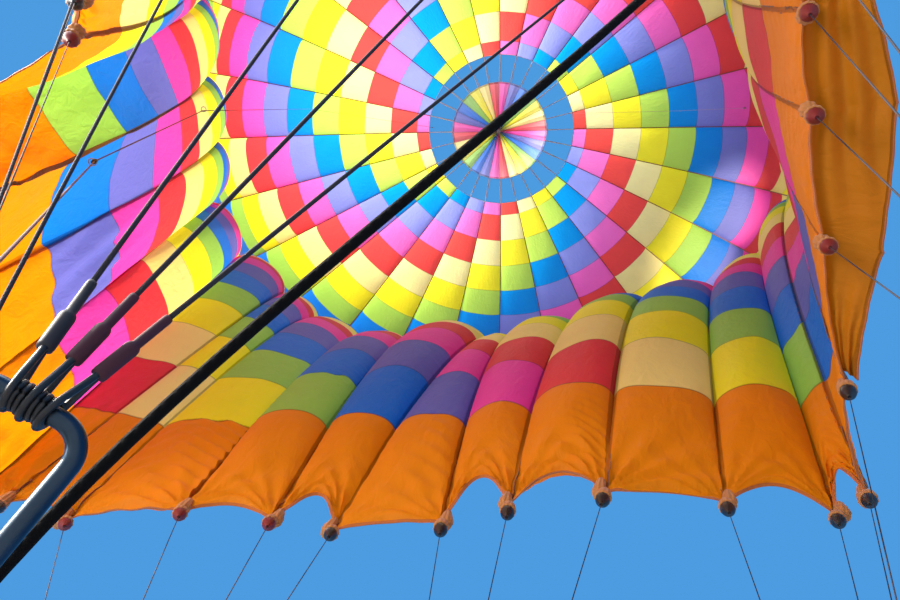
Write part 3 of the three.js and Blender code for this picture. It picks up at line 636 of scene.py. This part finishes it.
# Along the hem the reach grows as a sine to the middle; down the panel the height falls almost evenly. Long
# folds run along it, a sine across the panel whose phase drifts, and they meet at one tape; fans of folds
# leave the others: cosine of the angle round the tape end, fading outwards.
def scoopPiece(values):
    places = np.linspace(values["from"], values["to"], values["columns"])
    hemPlaces = np.arange(goreCount * panels["across"]) // panels["across"] + clothAcross[0]
    hemPlaces = np.append(hemPlaces, goreCount)
    hem = np.concatenate([cloth[-1], cloth[-1, :1]])
    hem = np.stack([np.interp(places, hemPlaces, hem[:, k]) for k in range(3)], -1)
    out = unit((hem - apex) * (1, 1, 0))
    along = distances(hem)
    middle = np.sin(math.pi * (places - values["from"]) / (values["to"] - values["from"]))
    full = values["endReach"] + values["reach"] * middle ** values["taper"]
    share = np.linspace(0, 1, values["rows"])[:, None]
    reach = values["outside"] + share * full
    height = values["top"] - (values["top"] - values["bottom"]) * share ** values["sag"]
    spread = 0.25 + 0.75 * smooth(abs(along - np.interp(values["meets"], places, along)), 0, 0.5)
    phase = 2 * math.pi * share * (1.2 + 1.6 * spread) + 2.4 * np.sin(2.3 * along + 0.6)
    depth = values["fold"] * spread * np.sin(phase) * np.sin(math.pi * share) ** 0.5
    for tape in values["fanTapes"]:
        offset = along - np.interp(tape, places, along)
        fade = values["fanDepth"] * np.exp(-np.hypot(offset, reach) / values["fanReach"]) * share
        depth = depth + fade * np.cos(values["fanCount"] * np.arctan2(reach, offset) + tape)
    points = hem * (1, 1, 0) + out * (reach + 0.5 * depth)[..., None]
    points = points + (height + envelope["mouthHeight"] + depth)[..., None] * zAxis
    uv = np.stack(np.broadcast_arrays(along, share * full), -1)
    piece = joinGrids("scoop_cloth", [{"points": points, "uv": uv}], [nylon],
                      stands=["scoop_panel"])
    # painted shade: the scoop's darker orange stands for the shade it hangs in
    clothValues(piece, np.minimum(along, along[-1] - along), (1 - share) * full, linear(values["colour"]))
    joinGrids("scoop_edge_binding", [tube(points[-1], values["edge"], 8)], [hemWebbing])


loadTapes()
scoopPiece(scoop)
edgeBinding("hem_binding", len(arcs) - 1, len(arcs) - 2, hemWebbing)
edgeBinding("vent_edge_binding", 0, 1, webbing)

# Crown ring and the tapes that cross the opening
crown = {"ringRadius": 0.15, "bar": 0.012, "ringLift": 0.005, "width": 0.025, "thickness": 0.0015,
         "tapeLift": 0.0125, "lap": 0.16}


# The ring is a bar bent round; each tape follows the crown's curve, goes round the bar and is sewn back on
# itself
def crownRing():
    centre = apex + crown["ringLift"] * zAxis
    ring = tube(circle(centre, crown["ringRadius"], xAxis, yAxis, 96), crown["bar"], 20, closed=True)
    grids = [dict(ring, finish=1)]
    reach = np.linspace(crown["ringRadius"], envelope["ventArc"] + crown["lap"], 26)
    for tape in range(goreCount):
        out = heading(tapeAngle(tape))
        path = crownPoint(tapeAngle(tape), reach) + crown["tapeLift"] * zAxis
        outward = np.cross(np.gradient(path, axis=0), np.cross(out, -zAxis))
        grids.append(strap(path, outward, crown["width"], crown["thickness"]))
        bar = centre + out * crown["ringRadius"]
        loop = circle(bar, crown["bar"] + crown["thickness"], out, zAxis, 16)
        grids.append(strap(loop, loop - bar, crown["width"], crown["thickness"], True))
    joinGrids("crown_ring", grids, [webbing, steel], stands=["crown_ring_tapes"])


crownRing()

# Parachute: a disc pulled down by its middle, with one pleat for each gore and finer ones between
parachute = {
    "pull": 1.5, "radius": 1.53, "dip": 0.62, "dipPower": 1.6, "hubRadius": 0.045, "pleat": 0.045,
    # painted light and shade in the cloth's colour: white mixed in towards the rim, darkening round the hub
    "fine": 0.012, "flutter": 0.012, "rings": 44, "perGore": 14, "rim": 0.006, "rimPaintedLight": 0.18,
    "hubPaintedShadeTo": 0.36, "flat": (3.5, 3.5), "area": 9.6,
    # lines: depth of the sag, radius below and outside the cloth, rings on the rim; blendTo is below the apex
    "sag": 0.06, "line": 0.0022, "centring": 0.007, "ring": 0.016, "ringBar": 0.004, "blendTo": 0.35,
    # hub: heights from its middle, shackle, and (height, radius) rows of the pulley block and of the knot
    # over it
    "blockAt": -0.045, "knotAt": 0.044, "shackleAt": -0.063, "shackle": 0.02, "shackleBar": 0.004,
    "block": ((0, 0.004), (0, 0.030), (0.006, 0.036), (0.020, 0.040), (0.026, 0.044), (0.036, 0.044),
              (0.040, 0.034), (0.050, 0.034), (0.054, 0.044), (0.064, 0.044), (0.070, 0.040),
              (0.084, 0.034), (0.09, 0.026), (0.09, 0.004)),
    "knot": ((0, 0.003), (0.002, 0.020), (0.012, 0.034), (0.028, 0.038), (0.046, 0.030), (0.062, 0.034),
             (0.082, 0.026), (0.1, 0.012), (0.104, 0.003)),
}
hubPlace = apex - (parachute["pull"] + parachute["dip"]) * zAxis


# Radius runs from the hub to the rim; height is the dip towards the hub plus the pleats, which grow outwards.
# The cloth's colour is painted light towards the rim, where white is mixed in for the pleats lit from above,
# and painted shade round the hub, where the gathered cloth and its lines lie in shadow.
def parachutePiece(values):
    share = np.linspace(0, 1, values["rings"])[:, None]
    wide = np.arange(goreCount * values["perGore"] + 1)[None] / values["perGore"]
    turn = wide[:, :-1]
    radius = values["hubRadius"] + 0.001 + (values["radius"] - values["hubRadius"]) * share
    pleat = -np.cos(2 * np.pi * turn) * values["pleat"] * np.sqrt(share)
    fine = np.cos(6 * np.pi * turn + 5 * share) * values["fine"] * np.sin(np.pi * share) ** 0.5
    flutter = values["flutter"] * np.sin(2 * np.pi * turn * 5 / goreCount + 1) * share ** 2
    dip = values["pull"] + values["dip"] * (1 - share) ** values["dipPower"]
    z = envelope["apex"] - dip + pleat + fine + flutter - envelope["skin"]
    angle = tapeAngle(turn)
    x, y = axisX + radius * np.cos(angle), axisY + radius * np.sin(angle)
    points = np.stack(np.broadcast_arrays(x, y, z), -1)
    flatRadius = values["hubRadius"] + share * values["radius"]
    uv = np.stack(np.broadcast_arrays(wide * goreAngle * flatRadius, flatRadius), -1)
    grid = {"points": points, "uv": uv, "around": True, "open": True}
    piece = joinGrids("parachute_cloth", [grid], [thinNylon], "parachute",
                      ["parachute_panel"])
    place = share[1:, :, None]
    colours = np.array([linear(c) for c in panels["colours"]])[np.floor(turn[0]).astype(int) % 7]
    # painted light: white mixed in towards the rim
    colour = colours * (1 - values["rimPaintedLight"] * place) + values["rimPaintedLight"] * place
    # painted shade: darker round the hub, fading out to a share of the radius
    colour = colour * (0.25 + 0.75 * smooth(place, 0.04, values["hubPaintedShadeTo"]))
    colour = np.repeat(colour.reshape(-1, 4), 4, axis=0)
    tapeGap = np.minimum(turn % 1, 1 - turn % 1) * goreAngle * flatRadius
    clothValues(piece, tapeGap, values["radius"] - flatRadius, colour)
    edge = tube(points[-1], values["rim"], 8, closed=True)
    joinGrids("parachute_rim_cord", [edge], [webbing], "parachute")
    return points[-1, ::values["perGore"]]


# Lines: from the hub up to each pleat of the rim, which ride along with the parachute, and from the rim to
# the edge of the vent, which belong to no body. Each is the straight way plus a sine of sag.
def parachuteLines(rim, values):
    hub = hubPlace - 0.03 * zAxis
    share = np.linspace(0, 1, 14)[:, None]
    sag = -values["sag"] * np.sin(math.pi * share) * zAxis
    below, outer, rings = [], [], []
    for tape in range(goreCount):
        out = heading(tapeAngle(tape))
        side = np.cross(out, zAxis)
        start = hub + out * values["hubRadius"] * 0.8
        below.append(tube(start + (rim[tape] - 0.02 * zAxis - start) * share + sag, values["line"], 6, side))
        edge = crownPoint(tapeAngle(tape), envelope["ventArc"] - 0.02)
        outer.append(tube(rim[tape] + (edge - rim[tape]) * share + sag * 0.4, values["centring"], 6, side))
        ring = circle(rim[tape], values["ring"], out, zAxis, 12)
        rings.append(tube(ring, values["ringBar"], 8, side, closed=True))
    joinGrids("parachute_lines", below, [webbing], "parachute")
    joinGrids("parachute_rings", rings, [steel], "parachute")
    centring = joinGrids("centring_lines", outer, [webbing], None)
    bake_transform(centring)


# Hub: a turned pulley block with a groove, a shackle below it and the knot of the lines over it
def hubPiece(values):
    block = turned(hubPlace + values["blockAt"] * zAxis, zAxis, values["block"], 48)
    shackle = circle(hubPlace + values["shackleAt"] * zAxis, values["shackle"], xAxis, zAxis, 28)
    shackle = tube(shackle, values["shackleBar"], 10, yAxis, closed=True)
    joinGrids("parachute_hub_block", [block, shackle], [steel], "parachute", ["parachute_hub"])
    knot = turned(hubPlace + values["knotAt"] * zAxis, zAxis, values["knot"], 40, 9, 0.12)
    joinGrids("parachute_knot", [knot], [redCord], "parachute")


parachuteLines(parachutePiece(parachute), parachute)
hubPiece(parachute)
print("crown and parachute")

# Carabiners on the load ring, with a flying wire to every load tape
risers = (  # ring angle in degrees, first tape, number of tapes, turn of the carabiner in degrees
    (-119, 12, 3, 70), (-45, 8, 4, 0), (40, 4, 4, 0), (110, 1, 3, 0), (158, 25, 4, 0), (182, 22, 3, 0),
    (204, 18, 4, 0), (226, 15, 3, 0))
loadRing = {"radius": 0.485, "eyeHeight": 0.14}
carabiner = {
    "width": 0.066, "length": 0.108, "corner": 0.018, "bar": 0.005, "gate": 0.044, "cornerSteps": 24,
    "sideSteps": 8, "pinBelow": 0.008, "pinHalf": 0.0065, "noseAbove": 0.001,
    # (distance, radius) rows of the screwed sleeve, the hinge pin and the nose
    "sleeve": ((0, 0.0052), (0.001, 0.0068), (0.003, 0.008), (0.008, 0.008), (0.009, 0.0072),
               (0.0105, 0.0072), (0.0115, 0.008), (0.0325, 0.008), (0.0335, 0.0072), (0.035, 0.0072),
               (0.036, 0.008), (0.041, 0.008), (0.043, 0.0068), (0.044, 0.0052)),
    "pin": ((0, 0.0015), (0.0005, 0.0022), (0.0125, 0.0022), (0.013, 0.0015)),
    "nose": ((0, 0.0049), (0.001, 0.0058), (0.007, 0.0058), (0.008, 0.0049)),
}
wire = {
    "radius": 0.0017, "from": 0.165, "sleeveEnd": 0.078, "sleeveLap": 0.01, "spread": 0.03,
    "backInside": 0.02, "loop": 0.0084, "strand": 0.0019, "strandGap": 0.002, "strandLength": 0.03,
    "coil": 0.0067, "coilBar": 0.0017, "coilTurns": 7, "coilHalf": 0.0115,
    "redTapes": (8, 9, 10, 18, 25, 26, 27),
    # (distance, radius) rows of the gathered pocket, the turned-back end of the tape, the cap and the
    # stepped sleeve
    "pocket": ((-0.03, 0.003), (-0.028, 0.012), (0.0, 0.020), (0.02, 0.026), (0.045, 0.031), (0.07, 0.034),
               (0.086, 0.034), (0.095, 0.032), (0.098, 0.029), (0.094, 0.025), (0.088, 0.022),
               (0.088, 0.004)),
    "back": ((-0.04, 0.003), (-0.038, 0.022), (-0.01, 0.031), (0.015, 0.030), (0.035, 0.024), (0.055, 0.022),
             (0.075, 0.016), (0.083, 0.010), (0.085, 0.003)),
    "cap": ((0.086, 0.004), (0.086, 0.024), (0.100, 0.0285), (0.115, 0.0295), (0.130, 0.027), (0.146, 0.021),
            (0.160, 0.012), (0.170, 0.008), (0.174, 0.006), (0.168, 0.005), (0.168, 0.003)),
    "sleeve": ((0, 0.0018), (0.0, 0.0026), (0.002, 0.0029), (0.024, 0.0029), (0.026, 0.0041), (0.028, 0.0045),
               (0.048, 0.0045), (0.050, 0.0042), (0.051, 0.002)),
}


def tapeEnd(tape):  # lower end of a load tape, in the cloth's thickness
    return np.append(tapeEnds[tape % goreCount, :2] + (axisX, axisY), envelope["mouthHeight"])


# Eye of the wires, their common pull, and the direction of the carabiner's bar there
def riserFrame(angle, first, count, turn):
    out = heading(math.radians(angle))
    eye = loadRing["radius"] * out + loadRing["eyeHeight"] * zAxis
    pull = unit(sum(unit(tapeEnd(first + k) - eye) for k in range(count)))
    bar, turn = unit(np.cross(out, pull)), math.radians(turn)
    return eye, pull, bar * math.cos(turn) + np.cross(pull, bar) * math.sin(turn)


# Carabiner: a bar bent round four corners, quarter circles joined by straight sides; gate with a screwed
# sleeve, hinge pin and nose on one long side
def carabinerPiece(number, riser, values):
    eye, pull, bar = riserFrame(*riser)
    face = np.cross(bar, pull)
    centre = eye - pull * values["length"] / 2
    steps = values["cornerSteps"]
    index = np.arange(4 * steps)
    sides = steps * np.arange(1, 5)[:, None] - 1 + np.linspace(0, 1, values["sideSteps"] + 1)
    places = np.union1d(index, sides)[:-1]
    path = centre
    for axis, size, wave, sign in ((bar, values["width"], np.cos, (1, -1, -1, 1)),
                                   (pull, values["length"], np.sin, (1, 1, -1, -1))):
        outline = values["corner"] * wave(math.pi / 2 * index / steps)
        outline = outline + np.repeat(sign, steps) * (size / 2 - values["corner"])
        path = path + np.interp(places, index, outline, period=4 * steps)[:, None] * axis
    body = tube(path, values["bar"], 24, face, closed=True)
    gate = centre + bar * values["width"] / 2
    half = values["gate"] / 2
    sleeve = turned(gate - pull * half, pull, values["sleeve"], 72, 18, 0.045)
    pinPlace = gate - pull * (half + values["pinBelow"]) - face * values["pinHalf"]
    pin = dict(turned(pinPlace, face, values["pin"], 16), finish=1)
    nose = turned(gate + pull * (half + values["noseAbove"]), pull, values["nose"], 24)
    joinGrids("carabiner_%d_body" % number, [body, sleeve, pin, nose], [anodised, steel],
              stands=["carabiner_%d" % number])


# Flying wires of one carabiner: pocket and cap under each tape, the tape's end gathered on the inner face
# above the hem, wire, stepped sleeve, and an end loop of two coated strands that leave the sleeve, spread
# to the width of the carabiner's bar and turn round it on its far side, with a coil beside it
def wiresPiece(number, riser, values):
    eye, pull, bar = riserFrame(*riser)
    first, count = riser[1:3]
    wires, sleeves, loops, pockets, caps = [], [], [], [], []
    for k in range(count):
        tape = (first + k) % goreCount
        column = tape * panels["across"]
        top = tapeEnd(tape)
        foot = eye + bar * (k - (count - 1) / 2) * values["spread"] / count
        along, length = unit(foot - top), np.linalg.norm(foot - top)
        side = unit(np.cross(along, bar))
        pockets.append(turned(top, along, values["pocket"], 66, 11, 0.035))
        hem, up = cloth[-1, column], unit(cloth[-13, column] - cloth[-1, column])
        inside = hem - clothNormal[-8, column] * values["backInside"]
        pockets.append(turned(inside, up, values["back"], 60, 9, 0.06))
        caps.append(dict(turned(top, along, values["cap"], 36), finish=int(tape in values["redTapes"])))
        sleeveAt = length - values["sleeveEnd"]
        reach = np.linspace(values["from"], sleeveAt + values["sleeveLap"], 30)[:, None]
        wires.append(tube(top + along * reach, values["radius"], 8, side))
        sleeves.append(dict(turned(top + along * sleeveAt, along, values["sleeve"], 28), finish=k % 3 != 2))
        share = np.linspace(0, 1, 15)[:, None]
        reach = length - values["strandLength"] * (1 - share)
        angle = np.linspace(0, math.pi / 2, 7)[1:, None]
        for hand in (-side, side):
            spread = values["strandGap"] + (values["loop"] - values["strandGap"]) * smooth(share, 0, 1)
            bend = foot + values["loop"] * (hand * np.cos(angle) + along * np.sin(angle))
            path = np.concatenate([top + along * reach + hand * spread, bend])
            loops.append(tube(path, values["strand"], 10, bar))
    turns = np.linspace(0, 1, 210)[:, None]
    angle = 2 * math.pi * values["coilTurns"] * turns
    coil = eye + (turns - 0.5) * 2 * values["coilHalf"] * bar + values["coil"] * (
        np.cos(angle) * pull + np.sin(angle) * np.cross(bar, pull))
    loops.append(tube(coil, values["coilBar"], 8, pull + 0.001 * bar))
    name = "flying_wires_%d" % number
    joinGrids(name + "_wire", wires, [strandedWire], stands=[name])
    joinGrids(name + "_sleeves", sleeves, [darkSleeve, redSleeve])
    joinGrids(name + "_loops", loops, [blackCoat])
    joinGrids(name + "_pockets", pockets, [pocketCloth])
    joinGrids(name + "_caps", caps, [blackCap, redCap])


for number, riser in enumerate(risers):
    carabinerPiece(number + 1, riser, carabiner)
    wiresPiece(number + 1, riser, wire)
print("carabiners and flying wires")

# Control lines inside the cloth
controlLines = {
    "radius": 0.004, "ring": 0.02, "ringBar": 0.0032, "ringSlack": 0.006, "knotFrom": 0.012, "clipHalf": 0.03,
    "vent": ((-3.05, -0.47, 23.78), (-6.934, -1.157, 22.311), (-2.65, -0.71, 5.46), (-2.33, -0.4, 3.41),
             (-0.412, -0.286, 0.006)),
    "closing": ((1.59, -0.83, 23.78), (5.007, -0.82, 22.732), (6.454, -0.834, 21.009), (2.8, -0.672, 9.04)),
    # (distance, radius) rows of a knot and of the clip on the vent line
    "knot": ((0, 0.002), (0.003, 0.007), (0.010, 0.010), (0.018, 0.0085), (0.024, 0.0100), (0.032, 0.007),
             (0.036, 0.003)),
    "clip": ((0, 0.003), (0.002, 0.010), (0.012, 0.013), (0.03, 0.012), (0.05, 0.009), (0.06, 0.006),
             (0.062, 0.003)),
}


# A steel ring that the line turns through: a circle in the plane of the bend, pulled to its inner side
def eyeRing(before, at, after, values):
    bend = unit(before - at) + unit(after - at)
    out = unit(bend if np.linalg.norm(bend) > 0.02 else np.cross(before - at, zAxis))
    flat = unit(np.cross(out, np.cross(before - at, out)))
    across = unit(np.cross(flat, out))
    path = circle(at - out * (values["ring"] - values["ringSlack"]), values["ring"], out, across, 28)
    return tube(path, values["ringBar"], 10, np.cross(out, across), closed=True)


# A taut line: straight tubes from point to point, a ring at each point, a knot at each end, and a clip on
# some
def controlLine(kind, material, values, clipAt=None):
    points, node = np.array(values[kind]), kind + "_line"
    share = np.linspace(0, 1, 40)[:, None]
    grids = [tube(a + (b - a) * share, values["radius"], 10, crosswise(b - a))
             for a, b in zip(points[:-1], points[1:])]
    joinGrids(kind + "_control_line", grids, [material], stands=[node])
    neighbours = zip([points[1], *points[:-1]], points, [*points[1:], points[-2]])
    rings = [eyeRing(before, at, after, values) for before, at, after in neighbours]
    joinGrids(kind + "_control_line_rings", rings, [steel])
    knots = [turned(end + unit(other - end) * values["knotFrom"], other - end, values["knot"], 20, 5, 0.1)
             for end, other in (points[:2], points[:-3:-1])]
    if clipAt:
        at, toward = points[clipAt], unit(points[clipAt - 1] - points[clipAt])
        clip = turned(at - toward * values["clipHalf"], toward, values["clip"], 28, 4, 0.12)
        knots.append(dict(clip, finish=1))
    joinGrids(kind + "_control_line_knots", knots, [material, blackCap])


controlLine("vent", redCord, controlLines, 3)
controlLine("closing", paleCord, controlLines)
print("control lines")

# Crown line: a rope from the load ring past the camera, up beside the envelope and over it to the crown
# ring, which it comes to from ringFrom, its distance from the axis in ring radii and its height over the
# ring
crownLine = {
    "radius": 0.005, "gap": 0.12, "angle": tapeAngle(10), "ringFrom": (4, 0.02), "ringGap": 0.002,
    "knotBack": 0.01,
    "free": ((-0.45, -0.105, 0.11), (-0.345, -0.268, 0.217), (0.13, -0.679, 0.687), (1.92, -2.23, 2.46),
             (3.1, -3.37, 4.4), (4.1, -4.17, 7.5), (4.84, -4.76, 11.5), (5.3, -5.11, 15.5)),
    "shares": (1, 0.85, 0.7, 0.55, 0.4, 0.28),
    "knot": ((0, 0.003), (0.004, 0.014), (0.02, 0.019), (0.036, 0.015), (0.05, 0.018), (0.066, 0.013),
             (0.072, 0.004)),
}


# Free points, then points over the cloth, a gap outside it, then down to the crown ring
def crownLineRoute(values):
    out = heading(values["angle"])
    points = [np.array(p) for p in values["free"]]
    for share in values["shares"]:
        here = crownPoint(values["angle"], equatorArc * share)
        slope = unit(crownPoint(values["angle"], equatorArc * share - envelope["arcStep"]) - here)
        points.append(here + (out * slope[2] - (slope @ out) * zAxis) * values["gap"])
    top = apex + (crown["ringLift"] + crown["bar"] + values["radius"] + values["ringGap"]) * zAxis
    for reach, height in (values["ringFrom"], (1, 0)):
        points.append(top + height * zAxis + out * crown["ringRadius"] * reach)
    return np.array(points)


# Smooth curve through points: cubic pieces whose end slopes weigh the gaps by the root of their length
def curveThrough(points, steps):
    points = np.vstack([2 * points[0] - points[1], points, 2 * points[-1] - points[-2]])
    gaps = np.linalg.norm(np.diff(points, axis=0), axis=1)[:, None] ** 0.5
    x0, x1, x2, x3 = points[:-3], points[1:-2], points[2:-1], points[3:]
    d0, d1, d2 = gaps[:-2], gaps[1:-1], gaps[2:]
    t1 = ((x1 - x0) / d0 - (x2 - x0) / (d0 + d1) + (x2 - x1) / d1) * d1
    t2 = ((x2 - x1) / d1 - (x3 - x1) / (d1 + d2) + (x3 - x2) / d2) * d1
    t = (np.arange(steps) / steps)[None, :, None]
    x1, x2, t1, t2 = (a[:, None] for a in (x1, x2, t1, t2))
    cubic = x1 + t1 * t + (3 * x2 - 3 * x1 - 2 * t1 - t2) * t ** 2 + (2 * x1 - 2 * x2 + t1 + t2) * t ** 3
    return np.vstack([cubic.reshape(-1, 3), points[-2]])


def crownLinePiece(values):
    route = curveThrough(crownLineRoute(values), 16)
    length = float(distances(route)[-1])
    side = heading(values["angle"] + math.pi / 2)
    piece = joinGrids("crown_line_rope", [tube(route, values["radius"], 14, side)], [rope],
                      stands=["crown_line"])
    ends = [turned(end - unit(other - end) * back, other - end, values["knot"], 32, 6, 0.1)
            for end, other, back in ((route[0], route[1], values["knotBack"]), (route[-1], route[-2], 0))]
    knots = joinGrids("crown_line_knots", ends, [rope])
    print("crown line", round(length, 2), "m")


crownLinePiece(crownLine)

# Floor, sky and lights. A light shines from its direction; a sun's place doesn't matter.
stage = {
    "floor": -0.2, "radii": (0.001, 20, 90), "floorColour": "94979b", "sky": "4d9be0", "skyStrength": 1.0,
    "lights": (  # name, kind, place, direction, settings
        ("sun", "SUN", (0, 0, 0), (-0.80, -0.43, 0.40),
         {"energy": 11.0, "color": linear("fff3e0")[:3], "angle": 0.12}),
        ("high_light", "SUN", (0, 0, 0), (-0.45, -0.35, 0.82), {"energy": 5.5, "angle": 1.2}),
        ("soft_light", "AREA", (-5.5, -3.5, 0.6), (-5.8, -4.5, -3.2),
         {"energy": 420, "shape": "DISK", "size": 4})),
}


def makeStage(values):
    turn = 2 * np.pi * np.arange(97) / 96
    radii = np.array(values["radii"])[:, None]
    disc = np.stack(np.broadcast_arrays(radii * np.cos(turn), radii * np.sin(turn), values["floor"]), -1)
    paint = newMaterial("pale_floor", worn, values["floorColour"], 0.8)
    joinGrids("floor", [{"points": disc, "uv": disc[..., :2]}], [paint], None)
    world = bpy.data.worlds.new("sky")
    bpy.context.scene.world = world
    world.use_nodes = True
    background = world.node_tree.nodes["Background"]
    background.inputs["Color"].default_value = linear(values["sky"])
    background.inputs["Strength"].default_value = values["skyStrength"]
    bpy.context.scene.view_settings.view_transform = "Standard"
    for name, kind, place, direction, settings in values["lights"]:
        light = addObject(name, bpy.data.lights.new(name, kind), settings)
        light.location = place
        light.rotation_euler = Vector(direction).to_track_quat("Z", "Y").to_euler()
        light.visible_camera = False


makeStage(stage)
